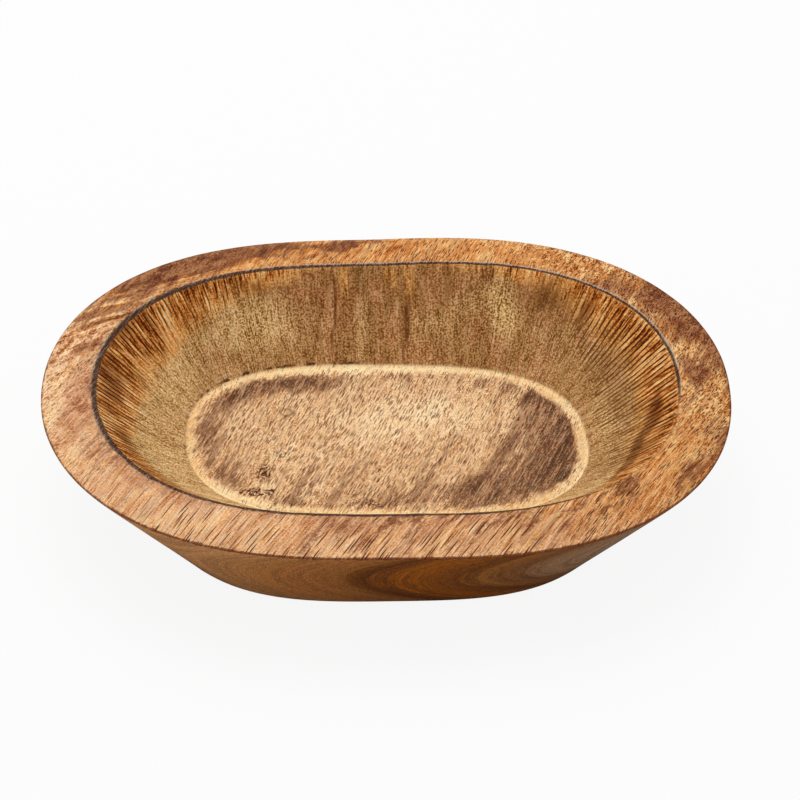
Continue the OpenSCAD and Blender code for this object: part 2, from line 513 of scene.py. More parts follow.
# How far, in millimetres or as a share, things reach round the bowl
BURN_ON_RIM = Course((
    (0, 1.3), (12, 1), (50, 0.95), (85, 0.8), (115, 1.1), (135, 1.7), (150, 1.9), (195, 1.7),
    (230, 1.4), (270, 1.4), (295, 1.1), (315, 0.4), (345, 0.6),
))
BURN_ON_WALL = Course((
    (0, 0.9), (45, 0.8), (85, 0.7), (115, 1), (150, 1.4), (200, 1.3), (240, 0.9), (300, 0.8),
))
BURN_DEPTH = Course((
    (0, 0.9), (60, 0.95), (120, 1), (200, 1), (290, 1), (308, 0.75), (325, 0.3), (348, 0.4),
))
SOOT = Course((
    (0, 0.5), (30, 0.35), (70, 0.3), (105, 0.35), (150, 0.55), (200, 0.8), (240, 0.6), (270, 0.5),
    (300, 0.3), (330, 0.1),
))
# Strength of the painted highlight along the crest of the lip's bevel, by bearing
CREST_HIGHLIGHT = Course((
    (0, 0.8), (10, 1), (60, 1), (100, 0.9), (125, 0.7), (160, 0.6), (200, 0.55), (225, 0.2), (250, 0),
    (345, 0),
))
GROOVE = Course((
    (0, 0.15), (30, 0.25), (60, 0.5), (90, 0.6), (105, 0.95), (150, 1), (185, 0.85), (205, 0.3),
    (330, 0.1),
))
RIDGES = Course((
    (0, 1), (20, 1), (34, 0.75), (46, 0.25), (60, 0.06), (110, 0.05), (118, 0.3), (128, 0.65),
    (150, 0.9), (200, 0.95), (225, 0.5), (250, 0.2), (310, 0.25), (335, 0.8),
))
RIDGE_END = Course((
    (0, 0.85), (30, 0.75), (60, 0.4), (100, 0.2), (125, 0.2), (150, 0.34), (185, 0.5), (230, 0.35),
    (300, 0.45), (330, 0.7),
))
ORANGE_END = Course((
    (0, 0.46), (20, 0.42), (35, 0.32), (50, 0.12), (68, 0), (80, 0), (108, 0), (118, 0.16), (126, 0.3),
    (140, 0.44), (160, 0.5), (180, 0.42), (200, 0.36), (230, 0.22), (300, 0.12), (330, 0.42),
    (345, 0.5),
))
RING = Course((
    (0, 1.3), (20, 1.2), (35, 0.8), (50, 0.35), (65, 0.2), (85, 0.15), (100, 0.3), (107, 0.8),
    (120, 0.95), (135, 0.85), (150, 0.95), (165, 0.82), (180, 0.7), (195, 0.65), (210, 0.6), (225, 0.3),
    (245, 0.25), (265, 0.3), (285, 0.35), (300, 0.6), (315, 1.15), (330, 1.3), (345, 1.35),
))
RING_REACH = Course((
    (0, 38), (20, 32), (40, 24), (60, 14), (90, 13), (108, 15), (130, 19), (150, 21), (180, 23),
    (210, 26), (240, 16), (300, 24), (320, 36), (340, 40),
))
BAND = Course((
    (0, 4.6), (60, 4.8), (110, 4.8), (150, 4.3), (200, 4), (250, 5.2), (320, 5),
))
STROKES = Course((
    (0, 1), (50, 1), (80, 1), (100, 0.95), (115, 0.7), (140, 0.55), (180, 0.44), (200, 0.48),
    (220, 0.62), (240, 0.74), (260, 0.85), (300, 0.95),
))
BRINK = Course((
    (0, 0.8), (60, 0.6), (120, 0.6), (180, 0.7), (210, 0.8), (240, 1), (300, 1), (330, 0.9),
))
# How far the lower inner wall turns paler and khaki, by bearing: the wood's own khaki, with painted light
# strongest on the left and front walls and weakest on the back wall
WALL_KHAKI_AND_LIGHT = Course((
    (0, 0.5), (30, 0.35), (60, 0.25), (90, 0.15), (115, 0.3), (135, 0.6), (160, 1), (185, 1.05),
    (215, 1.3), (300, 1.2), (330, 0.6),
))


@dataclass
class CarvedBowl:
    """The bowl's fine mesh, its tool marks and the attributes that lead its wood."""

    form: BowlForm
    front_grain: float = 55.5
    back_grain: float = 67.0
    grain_slant: float = 62.0
    grain_reach: float = 0.12
    floor_lean: float = 0.44
    floor_fan: float = 0.35
    floor_curl: float = 0.5
    clearance: float = 0.06 * MM
    ripple: float = 0.22 * MM
    lip_ripple: float = 0.28 * MM
    left_pitch: float = 2.6 * MM
    right_pitch: float = 2.95 * MM
    figure_x: float = -15.5 * MM
    figure_z: float = 30 * MM
    figure_bend: float = 43.0
    band_slant: float = 24.0

    def carve(self, rows: np.ndarray, places: np.ndarray) -> np.ndarray:
        """Moves the surface into the wood by the depth of the tool marks.

        The depth is a small clearance, plus slow ripples inside and on the lip, with the ripples
        left out on the flat base.

        Args:
            rows: positions by row and column.
            places: each row's place along the section.

        Returns:
            The carved positions.
        """
        round_step = np.roll(rows, -1, axis=1) - np.roll(rows, 1, axis=1)
        normals = unit(np.cross(round_step, np.gradient(rows, axis=0)))
        place = places[:, None]
        lip = np.exp(-(((place - Part.LIP.value) / 0.06) ** 2))
        inside = smooth(place, 2.98, 3.05)
        rough = 0.5 + 0.5 * lumps(rows, 9 * MM, 3)
        fine = 0.5 + 0.5 * lumps(rows, 3.5 * MM, 4)
        depth = self.clearance + self.ripple * inside * (0.7 * rough + 0.3 * fine)
        depth = depth + self.lip_ripple * lip * (0.6 * fine + 0.4 * rough)
        depth = depth + 0.5 * self.ripple * (1 - inside) * smooth(place, 1.05, 1.2) * rough
        carved = rows - normals * depth[..., None]
        flat = places < Part.BASE.value
        carved[flat] = rows[flat]
        return carved

    def ridges(self) -> tuple[np.ndarray, int]:
        """Count of tool ridges round the lip, a little finer at the left end than at the right.

        The count grows with the girth divided by the local pitch, and comes to a whole number.

        Returns:
            The ridge count as an angle at each column, and the whole number of ridges.
        """
        right = smooth(np.cos(self.form.bearing), -0.2, 0.5)
        pitch = self.left_pitch + (self.right_pitch - self.left_pitch) * right
        step = self.form.girth / self.form.columns
        count = np.concatenate([[0], np.cumsum(step / pitch)])
        return TURN * count[:-1] / count[-1], round(count[-1])

    def grain(self, points: np.ndarray) -> np.ndarray:
        """Positions seen along the grain: how far across it, how far along it, and the height.

        On the rim the grain's turn grows from front to back, and the sideways lean of a grain line is
        the sum of the cotangents of the turn. On the floor it is y times a lean that grows a little to
        the right and to the front.

        Args:
            points: positions.

        Returns:
            Coordinates across, along and above the grain.
        """
        x, y = points[..., 0] + 1.2 * MM * lumps(points, 40 * MM, 11), points[..., 1]
        x = x + 0.3 * MM * lumps(points, 9 * MM, 12)
        reach = np.linspace(-self.grain_reach, self.grain_reach, 481)
        back = smooth(reach, -0.06, 0.08)
        turn = np.radians(self.front_grain + (self.back_grain - self.front_grain) * back)
        lean = np.cumsum(1 / np.tan(turn)) * (reach[1] - reach[0])
        sine = math.sin(math.radians(self.grain_slant))
        on_rim = np.interp(y, reach, lean)
        on_floor = y * (self.floor_lean + self.floor_fan * x - self.floor_curl * y)
        upper = smooth(points[..., 2], self.form.height - 8 * MM, self.form.height - 5 * MM)
        across = (x - on_floor - (on_rim - on_floor) * upper) * sine
        return np.stack([across, y / sine, points[..., 2]], axis=-1)

    def figure(self, points: np.ndarray, rim: np.ndarray) -> np.ndarray:
        """Growth rings: nested bows that open to the right outside, slanting bands on the rim.

        Outside, a ring's level is x less its apex less a curvature times the squared height above its
        axis, with slow lumps added; the curvature grows to the right. On the rim it is the distance
        across a slanting line.

        Args:
            points: positions.
            rim: 1 on the rim and 0 elsewhere.

        Returns:
            The level, and two places along the ring, in centimetres.
        """
        x, y, z = np.moveaxis(points, -1, 0)
        height = z - self.figure_z + 2 * MM * lumps(points, 30 * MM, 42)
        bend = self.figure_bend + 260 * np.clip(x - self.figure_x, 0, 0.1)
        level = x - self.figure_x - bend * height**2 + 2.5 * MM * lumps(points, 22 * MM, 41)
        bows = np.stack([level, z, y], axis=-1)
        slant = math.radians(self.band_slant)
        across = y * math.cos(slant) - x * math.sin(slant) + 2 * MM * lumps(points, 16 * MM, 43)
        along = x * math.cos(slant) + y * math.sin(slant)
        bands = np.stack([1.3 * across, along, z], axis=-1)
        return 100 * np.where(rim[..., None] > 0.5, bands, bows)

    def build(self) -> bpy.types.Object:
        """Makes the bowl's mesh object, with its attributes.

        Returns:
            The object, whose place is in its mesh.
        """
        rows, places = self.form.rows()
        rows = self.carve(rows, places)
        middle = np.concatenate([-self.form.middle, [rows[-1, :, 2].mean()]])
        points = np.concatenate([rows.reshape(-1, 3), [[0, 0, 0], middle]])
        mesh = bpy.data.meshes.new("carved_bowl")
        mesh.from_pydata(points.tolist(), [], self.faces(len(places)))
        mesh.polygons.foreach_set("use_smooth", np.ones(len(mesh.polygons), dtype=bool))
        self.dress(mesh, rows, places)
        mesh.validate()
        bowl = bpy.data.objects.new("carved_bowl", mesh)
        bpy.context.scene.collection.objects.link(bowl)
        LOG.info("carved_bowl: %d triangles", sum(len(p.vertices) - 2 for p in mesh.polygons))
        return bowl

    def faces(self, row_count: int) -> list[list[int]]:
        """Quads between the rings, and a fan at the base's and at the floor's middle.

        Args:
            row_count: number of rings.

        Returns:
            Lists of vertex numbers, turning so that the faces point outwards.
        """
        columns = self.form.columns
        here = np.arange(columns)
        next_ = (here + 1) % columns
        starts = (np.arange(row_count - 1) * columns)[:, None]
        quads = np.stack(
            [starts + here, starts + next_, starts + columns + next_, starts + columns + here], axis=-1
        ).reshape(-1, 4)
        last = (row_count - 1) * columns
        under = np.full(columns, row_count * columns)
        base_fan = np.stack([under, next_, here], axis=-1)
        floor_fan = np.stack([under + 1, last + here, last + next_], axis=-1)
        return quads.tolist() + base_fan.tolist() + floor_fan.tolist()

    def dress(self, mesh: bpy.types.Mesh, rows: np.ndarray, places: np.ndarray) -> None:
        """Writes the attributes that the wood reads.

        Grain holds the position seen along the grain, Ridge a point on a circle for the ridge count with
        the way down the wall as its third coordinate, Figure the growth rings, Zone the rim, inner wall
        and floor, StainAndLight the dark, warm and pale patches, whose pale share also carries painted light
        on the inner wall, Edge the burnt lip, the painted highlight along its crest and the groove at the
        wall's foot, Tool the ridges, torn spots and worn band, Kind the short pores, the pale side of the
        rim and the soot beside the lip, and Stroke the open pores, the middling ones and the line on the
        rim's brink.

        Args:
            mesh: the bowl's mesh.
            rows: positions by row and column.
            places: each row's place along the section.
        """
        place = np.broadcast_to(places[:, None], rows.shape[:2])
        steps = np.linalg.norm(np.diff(rows, axis=0), axis=2)
        run = np.concatenate([[np.zeros(rows.shape[1])], np.cumsum(steps, axis=0)])
        from_lip = self.past(run, places, Part.LIP)
        from_foot = self.past(run, places, Part.FOOT)
        rim = smooth(place, 1.99, 2.006) * (1 - smooth(place, 2.995, 3.012))
        wall = smooth(place, 2.995, 3.012) * (1 - smooth(from_foot, -1.5, -0.5))
        floor = smooth(from_foot, -1.5, -0.5) * (place > 3)
        shift = np.stack([lumps(rows, 12 * MM, 21), lumps(rows, 12 * MM, 22)], axis=-1)
        plan = rows[..., :2] + 2.5 * MM * shift
        down = np.clip(place - Part.LIP.value, 0, 1)
        bearing = self.form.bearing
        orange_end = ORANGE_END.at(bearing) + 0.12 * lumps(rows, 14 * MM, 51)
        orange = 1 - smooth(down, orange_end - 0.26, orange_end + 0.18)
        # Paler, khaki lower inner wall: partly the wood's own tone, partly painted light, strongest on the
        # left and front walls and weakest on the back wall.
        tone = WALL_KHAKI_AND_LIGHT.at(bearing) * smooth(down, 0.15, 0.55)
        reach = RING_REACH.at(bearing) + 4 * lumps(rows, 11 * MM, 52)
        ring = RING.at(bearing) * smooth(from_foot, 3, 7.5) * (1 - smooth(from_foot, 7.5, reach))
        ring = ring * (1 + 0.45 * lumps(rows, 8 * MM, 53))
        dark = floor * (ring + patched(plan, FLOOR_DARK)) + rim * patched(plan, RIM_DARK)
        dark = dark + wall * patched(plan, WALL_DARK)
        warm = wall * (orange + patched(plan, WALL_ORANGE)) + rim * patched(plan, RIM_ROSE)
        pale = floor * patched(plan, FLOOR_PALE) + wall * (tone + patched(plan, WALL_PALE_AND_LIT))
        pale = pale + rim * patched(plan, RIM_BANDED)
        angle, self.ridge_count = self.ridges()
        circle = np.stack([np.cos(angle), np.sin(angle)], axis=-1) * (self.ridge_count / TURN)
        around = np.broadcast_to(circle, (*rows.shape[:2], 2))
        self.write(mesh, "Grain", self.grain(rows))
        self.write(mesh, "Ridge", np.concatenate([around, (down * 50 * MM)[..., None]], axis=-1))
        self.write(mesh, "Figure", self.figure(rows, rim))
        self.write(mesh, "Zone", np.stack([rim, wall, floor], axis=-1))
        self.write(mesh, "StainAndLight", np.stack([dark, warm, pale], axis=-1))
        self.write(mesh, "Edge", np.stack(self.edges(rows, from_lip, from_foot), axis=-1))
        self.write(mesh, "Tool", np.stack(self.tools(rows, plan, down, place, from_foot), axis=-1))
        self.write(mesh, "Kind", np.stack(self.kinds(rows, from_lip), axis=-1))
        from_edge = self.past(run, places, Part.RIM_EDGE)
        self.write(mesh, "Stroke", np.stack(self.strokes(rows, from_edge), axis=-1))

    @staticmethod
    def past(run: np.ndarray, places: np.ndarray, part: Part) -> np.ndarray:
        """Distance past a corner of the section in millimetres, negative before it.

        Args:
            run: length of the section up to each position.
            places: each row's place along the section.
            part: the corner.

        Returns:
            One distance for each position.
        """
        return (run - run[np.argmin(np.abs(places - part.value))]) / MM

    def spread(self, rows: np.ndarray) -> tuple[np.ndarray, np.ndarray]:
        """Plan positions as shares of half the bowl's length and of half its width."""
        return rows[..., 0] / self.form.length * 2, rows[..., 1] / self.form.width * 2

    def edges(self, rows: np.ndarray, from_lip: np.ndarray, from_foot: np.ndarray) -> list[np.ndarray]:
        """Strengths of the burnt lip, of the painted highlight along its crest and of the groove at the
        wall's foot.

        Args:
            rows: positions by row and column.
            from_lip: distance past the lip in millimetres, negative on the rim.
            from_foot: distance past the wall's foot in millimetres.

        Returns:
            Three arrays of strengths.
        """
        bearing = self.form.bearing
        ragged = 1 + 0.2 * lumps(rows, 6 * MM, 31) + 0.12 * lumps(rows, 1.6 * MM, 32)
        on_rim = np.minimum(from_lip, 0) / (BURN_ON_RIM.at(bearing) * ragged)
        on_wall = np.maximum(from_lip, 0) / (BURN_ON_WALL.at(bearing) * ragged)
        burn = BURN_DEPTH.at(bearing) * np.exp(-((on_rim**2 + on_wall**2) ** 1.5))
        # Painted highlight: a pale line along the crest of the lip's bevel, its strength set by bearing.
        crest_place = 0.35 + 0.55 * BURN_ON_RIM.at(bearing)
        crest = np.exp(-(((from_lip + crest_place + 0.15 * lumps(rows, 5 * MM, 33)) / 0.55) ** 2))
        shine = CREST_HIGHLIGHT.at(bearing) * crest
        wander = 0.3 * lumps(rows, 2.2 * MM, 34) + 0.45 * lumps(rows, 6 * MM, 35)
        width = 0.42 + 0.16 * lumps(rows, 4 * MM, 36)
        deep = GROOVE.at(bearing)
        groove = deep * np.exp(-(((from_foot + 0.9 + wander * deep) / width) ** 2))
        return [burn, shine, groove]

    def tools(
        self, rows: np.ndarray, plan: np.ndarray, down: np.ndarray, place: np.ndarray, from_foot: np.ndarray
    ) -> list[np.ndarray]:
        """Strengths of the ridges, of the torn spots and of the worn band.

        Args:
            rows: positions by row and column.
            plan: plan positions in metres.
            down: share of the way down the inner wall.
            place: place along the section of each vertex.
            from_foot: distance past the wall's foot in millimetres.

        Returns:
            Three arrays of strengths.
        """
        bearing = self.form.bearing
        end = RIDGE_END.at(bearing) + 0.15 * lumps(rows, 10 * MM, 61)
        inside = smooth(place, 3.005, 3.03) * (1 - smooth(place, 3.85, 3.97))
        ridge = inside * RIDGES.at(bearing) * (0.1 + 0.9 * (1 - smooth(down, end - 0.25, end + 0.2)))
        edge = BAND.at(bearing) + 1.3 * lumps(rows, 7 * MM, 62) + 1.0 * lumps(rows, 2 * MM, 63)
        outer = 1 - smooth(from_foot, edge - 2.6, edge + 1.6)
        band = (place > 3.5) * smooth(from_foot, -1.1, -0.1) * outer
        return [ridge, patched(plan, PIECES_TORN), band]

    def kinds(self, rows: np.ndarray, from_lip: np.ndarray) -> list[np.ndarray]:
        """Shares of short pores, of the pale side of the rim, and of the soot beside the lip.

        Args:
            rows: positions by row and column.
            from_lip: distance past the lip in millimetres.

        Returns:
            Three arrays of shares.
        """
        x, y = self.spread(rows)
        short = smooth(np.abs(x) + 0.35 * y, 0.55, 0.95)
        pale = smooth(-0.7 * x - 0.75 * y, -0.2, 0.6)
        soot = SOOT.at(self.form.bearing) * np.exp(-np.abs(np.minimum(from_lip, 0)) / 3.2) * (from_lip < 0.5)
        return [short, pale, soot]

    def strokes(self, rows: np.ndarray, from_edge: np.ndarray) -> list[np.ndarray]:
        """Strength of the rim's open pores, share of middling ones, and the dark line on the rim's brink.

        Args:
            rows: positions by row and column.
            from_edge: distance past the rim's outer edge in millimetres.

        Returns:
            Three arrays of shares.
        """
        x, y = self.spread(rows)
        bearing = self.form.bearing
        middling = np.maximum(smooth(y, 0.1, 0.6), np.maximum(smooth(x, 0.3, 0.6), smooth(-x, 0.62, 0.9)))
        width = 0.5 * (1 + 0.5 * lumps(rows, 3 * MM, 71))
        brink = BRINK.at(bearing) * np.exp(-((np.maximum(np.abs(from_edge - 0.2) - 0.2, 0) / width) ** 2))
        return [np.broadcast_to(STROKES.at(bearing), x.shape), middling, brink]

    @staticmethod
    def write(mesh: bpy.types.Mesh, name: str, values: np.ndarray) -> None:
        """Stores a vector at each vertex, with the two middle vertices taking their last ring's mean.

        Args:
            mesh: mesh that takes the attribute.
            name: the attribute's name.
            values: vectors by row and column.
        """
        flat = np.concatenate([values.reshape(-1, 3), [values[0].mean(axis=0), values[-1].mean(axis=0)]])
        layer = mesh.attributes.new(name, "FLOAT_VECTOR", "POINT")
        layer.data.foreach_set("vector", flat.astype(np.float32).ravel())


class Signal:
    """A number in a material, on which Python's sums add Math nodes."""

    def __init__(self, graph: "Graph", socket: bpy.types.NodeSocket) -> None:
        """Keeps the graph and the socket that the number comes from."""
        self.graph = graph
        self.socket = socket

    def sum(self, operation: str, first: Any, second: Any = 0.0) -> "Signal":
        """One Math node.

        Args:
            operation: the node's operation.
            first: a number or a Signal.
            second: a number or a Signal.

        Returns:
            The result.
        """
        return self.graph.add("ShaderNodeMath", {"operation": operation}, {0: first, 1: second})

    def __add__(self, other: Any) -> "Signal":
        """self + other."""
        return self.sum("ADD", self, other)

    __radd__ = __add__

    def __sub__(self, other: Any) -> "Signal":
        """self - other."""
        return self.sum("SUBTRACT", self, other)

    def __rsub__(self, other: Any) -> "Signal":
        """other - self."""
        return self.sum("SUBTRACT", other, self)

    def __mul__(self, other: Any) -> "Signal":
        """self * other."""
        return self.sum("MULTIPLY", self, other)

    __rmul__ = __mul__

    def size(self) -> "Signal":
        """The number without its sign."""
        return self.sum("ABSOLUTE", self)

    def step(self, low: Any, high: Any) -> "Signal":
        """Smooth step from 0 at low to 1 at high.

        Args:
            low: value at which the step starts.
            high: value at which it is complete.

        Returns:
            A share from 0 to 1.
        """
        settings = {"interpolation_type": "SMOOTHSTEP"}
        inputs = {"Value": self, "From Min": low, "From Max": high}
        return self.graph.add("ShaderNodeMapRange", settings, inputs)


class Graph:
    """Builds the nodes of one material or world."""

    def __init__(self, owner: bpy.types.ID) -> None:
        """Empties the node tree of a material or world."""
        owner.use_nodes = True
        self.owner = owner
        self.tree = owner.node_tree
        self.tree.nodes.clear()

    def add(self, kind: str, settings: dict[str, Any], inputs: dict[Any, Any], output: Any = 0) -> Signal:
        """Adds one node.

        Args:
            kind: the node's type.
            settings: the node's own settings, set first; "stops" holds a ramp's places and colours.
            inputs: values or Signals for its inputs, by name or number.
            output: name or number of the output that is returned.

        Returns:
            The chosen output.
        """
        node = self.tree.nodes.new(kind)
        for name, value in settings.items():
            if name == "stops":
                self.set_stops(node, value)
            else:
                setattr(node, name, value)
        for name, value in inputs.items():
            if isinstance(value, Signal):
                self.tree.links.new(value.socket, node.inputs[name])
            else:
                node.inputs[name].default_value = value
        return Signal(self, node.outputs[output]) if node.outputs else Signal(self, node.inputs[0])

    @staticmethod
    def set_stops(node: bpy.types.Node, stops: list[tuple[float, Paint]]) -> None:
        """Gives a ramp its stops.

        Args:
            node: the ramp.
            stops: pairs of a place and a colour, in rising order.
        """
        elements = node.color_ramp.elements
        while len(elements) < len(stops):
            elements.new(1.0)
        for element, (place, colour) in zip(elements, stops):
            element.position = place
            element.color = colour

    def attribute(self, name: str) -> Signal:
        """The vector of a mesh attribute."""
        return self.add("ShaderNodeAttribute", {"attribute_name": name}, {}, "Vector")

    def split(self, vector: Signal) -> tuple[Signal, Signal, Signal]:
        """The three coordinates of a vector.

        Args:
            vector: the vector.

        Returns:
            Its coordinates.
        """
        first = self.add("ShaderNodeSeparateXYZ", {}, {0: vector})
        node = first.socket.node
        return first, Signal(self, node.outputs[1]), Signal(self, node.outputs[2])

    def scaled(self, vector: Signal, factors: Triple) -> Signal:
        """A vector with each coordinate times its own factor."""
        return self.add("ShaderNodeVectorMath", {"operation": "MULTIPLY"}, {0: vector, 1: factors})

    def noise(
        self, vector: Signal, scale: Triple, detail: float = 2.0, spread: float = 0.16, bend: float = 0.0
    ) -> Signal:
        """Noise stretched to the full span from 0 to 1.

        Args:
            vector: position.
            scale: number of lumps in one unit, for each coordinate.
            detail: number of finer layers.
            spread: how far from one half the raw noise reaches 0 and 1; less means harder edges.
            bend: how far the noise is bent by itself.

        Returns:
            The noise.
        """
        inputs = {"Vector": self.scaled(vector, scale), "Scale": 1.0, "Detail": detail}
        inputs |= {"Roughness": 0.55, "Distortion": bend}
        raw = self.add("ShaderNodeTexNoise", {"noise_dimensions": "3D"}, inputs, 0)
        return raw.step(0.5 - spread, 0.5 + spread)

    def pores(self, vector: Signal, scale: Triple, size: float) -> Signal:
        """Pores: 1 at each cell's random point, 0 a given distance away, each with a random strength.

        Args:
            vector: position; its third coordinate isn't used.
            scale: number of cells in one unit, for each coordinate.
            size: a pore's half width, in cells.

        Returns:
            Strength from 0 to 1.
        """
        inputs = {"Vector": self.scaled(vector, scale), "Scale": 1.0, "Randomness": 1.0}
        kind = {"voronoi_dimensions": "2D", "feature": "F1"}
        distance = self.add("ShaderNodeTexVoronoi", kind, inputs, "Distance")
        chance = self.split(Signal(self, distance.socket.node.outputs["Color"]))[0]
        return (1 - distance.step(0.45 * size, size)) * chance.step(0.05, 0.7)

    def mix(self, first: Any, second: Any, factor: Any) -> Signal:
        """One colour changed into another.

        Args:
            first: a colour or a Signal, shown where factor is 0.
            second: a colour or a Signal, shown where factor is 1.
            factor: a number or a Signal.

        Returns:
            The mixed colour.
        """
        return self.add("ShaderNodeMix", {"data_type": "RGBA"}, {0: factor, 6: first, 7: second}, 2)

    def tones(self, tone: Signal, *codes: str) -> Signal:
        """A ramp of evenly spaced colours from dark to light, read at a tone from 0 to 1."""
        stops = [(i / (len(codes) - 1), paint(code)) for i, code in enumerate(codes)]
        return self.add("ShaderNodeValToRGB", {"stops": stops}, {0: tone}, "Color")

    def shaded(self, colour: Signal, factor: Any) -> Signal:
        """A colour made darker or lighter by a factor: its vector times the factor."""
        return self.add("ShaderNodeVectorMath", {"operation": "SCALE"}, {0: colour, "Scale": factor})


# The outer wall's growth rings: colours at levels in centimetres past the first dark bow
BOWS = (
    (-7.0, "b57f4e"), (-4.0, "a56b36"), (-1.9, "9f6230"), (-0.6, "8f5a26"), (-0.3, "74400f"),
    (0.0, "65350c"), (0.4, "6e3c14"), (0.75, "824812"), (0.95, "703a0e"), (1.25, "8a4c10"),
    (1.7, "96520c"), (3.0, "8c4c10"), (3.4, "75400f"), (3.7, "804612"), (4.1, "68380e"),
    (4.6, "824c1a"), (5.1, "8c5624"), (5.7, "7c4c22"), (6.5, "7a4c26"), (7.4, "8a6240"),
    (10.0, "927054"),
)


def paint(code: str) -> Paint:
    """A colour as the eye names it, turned into light: each channel by the usual screen curve.

    Args:
        code: six hexadecimal digits.

    Returns:
        Red, green and blue as shares of light, and 1 for opaque.
    """
    channels = [int(code[i : i + 2], 16) / 255 for i in (0, 2, 4)]
    light = [c / 12.92 if c <= 0.04045 else ((c + 0.055) / 1.055) ** 2.4 for c in channels]
    return (light[0], light[1], light[2], 1.0)


class WoodGrain:
    """The patterns of the wood that all its surfaces share, each from 0 to 1."""

    def __init__(self, g: Graph, ridge_count: int) -> None:
        """Adds the nodes of every pattern.

        Args:
            g: the material's graph.
            ridge_count: number of tool ridges round the lip.
        """
        grain = g.attribute("Grain")
        around = g.attribute("Ridge")
        figure = g.attribute("Figure")
        self.rim, self.wall, self.floor = g.split(g.attribute("Zone"))
        # Dark, warm and pale patches; the pale share also carries painted light on the inner wall.
        self.dark, self.warm, self.pale = g.split(g.attribute("StainAndLight"))
        # Burnt lip, painted highlight along its crest, and the groove at the wall's foot.
        self.burn, self.shine, self.groove = g.split(g.attribute("Edge"))
        self.ridge_strength, self.torn, self.band = g.split(g.attribute("Tool"))
        self.short, self.pale_side, self.soot = g.split(g.attribute("Kind"))
        self.strokes, self.middling, self.brink = g.split(g.attribute("Stroke"))
        self.level, self.height, _ = g.split(figure)

        self.fibre = g.noise(grain, (1150, 42, 60), 0.5, 0.15)
        self.hair = g.noise(grain, (1750, 170, 60), 0.5, 0.15)
        self.streak = g.noise(grain, (330, 17, 60), 1.5, 0.14, 0.15)
        self.smear = g.noise(grain, (620, 70, 60), 0.5, 0.16, 0.2)
        self.cloud = g.noise(grain, (75, 45, 60), 2, 0.14, 0.5)
        self.blotch = g.noise(grain, (300, 190, 60), 1, 0.15, 0.6)
        self.grit = g.noise(grain, (1350, 950, 300), 0, 0.17)
        self.dust = g.noise(grain, (2300, 1700, 300), 0, 0.17)
        self.long_pores = g.pores(grain, (860, 48, 0), 0.31)
        self.mid_pores = g.pores(grain, (1200, 120, 0), 0.32)
        self.short_pores = g.pores(grain, (1350, 300, 0), 0.36)
        self.thin_pores = g.pores(grain, (1420, 140, 0), 0.36)
        self.flecks = g.noise(grain, (1450, 250, 60), 0.3, 0.15).step(0.64, 1.0)
        self.dots = g.pores(grain, (620, 480, 0), 0.24)

        x, y, _ = g.split(around)
        angle = g.add("ShaderNodeMath", {"operation": "ARCTAN2"}, {0: y, 1: x})
        wobble = g.noise(around, (0.5, 0.5, 75), 2, 0.2)
        wave = g.add("ShaderNodeMath", {"operation": "SINE"}, {0: angle * float(ridge_count) + wobble * 2.0})
        self.land = (wave * 0.5 + 0.5).step(0.02, 0.44)
        self.broken = g.noise(around, (1.0, 1.0, 130), 1, 0.13)
        self.combed = g.noise(around, (1.7, 1.7, 40), 1, 0.14)
        self.hatch = g.noise(around, (4.6, 4.6, 140), 0, 0.16)
        self.worm = g.noise(around, (3.3, 3.3, 1150), 0, 0.17)
        self.sweep = g.noise(around, (0.45, 0.45, 38), 2, 0.15, 0.3)
        self.rings = g.noise(figure, (3.0, 0.25, 0.3), 2, 0.16)
        self.fine_rings = g.noise(figure, (12.0, 1.2, 1.2), 1.5, 0.15)
        self.satin = g.noise(figure, (46.0, 9.0, 9.0), 1, 0.16)
        spot = g.add("ShaderNodeTexCoord", {}, {}, "Object")
        from_knot = g.add("ShaderNodeVectorMath", {"operation": "SUBTRACT"}, {0: spot, 1: KNOT})
        from_knot = g.scaled(from_knot, (900, 1000, 0))
        ring_size = g.add("ShaderNodeVectorMath", {"operation": "LENGTH"}, {0: from_knot}, "Value")
        self.knot = (1 - (ring_size - 2.3).size().step(0.2, 1.1)) * (self.grit * 0.6 + 0.4)
        bent = {"Vector": g.scaled(grain, (380, 320, 60)), "Scale": 1.0, "Detail": 1.0, "Distortion": 1.2}
        squiggle = g.add("ShaderNodeTexNoise", {}, bent)
        self.squiggle = 1 - (squiggle - 0.5).size().step(0.03, 0.07)

    def swings(self, **shares: Any) -> Signal:
        """Sum of patterns about their middles: each pattern less one half, times its share.

        Args:
            shares: for each pattern's name, a number or a Signal.

        Returns:
            The sum.
        """
        parts = [(getattr(self, name) - 0.5) * share for name, share in shares.items()]
        return sum(parts[1:], parts[0])

    def ragged(self, strength: Signal, low: float, high: float, **shares: Any) -> Signal:
        """A strength graded from low to high, with its edge broken up by patterns.

        Args:
            strength: the strength.
            low: strength at which the grade starts.
            high: strength at which it is complete.
            shares: for each pattern's name, its share.

        Returns:
            A share from 0 to 1.
        """
        return (strength + self.swings(**shares)).step(low, high)


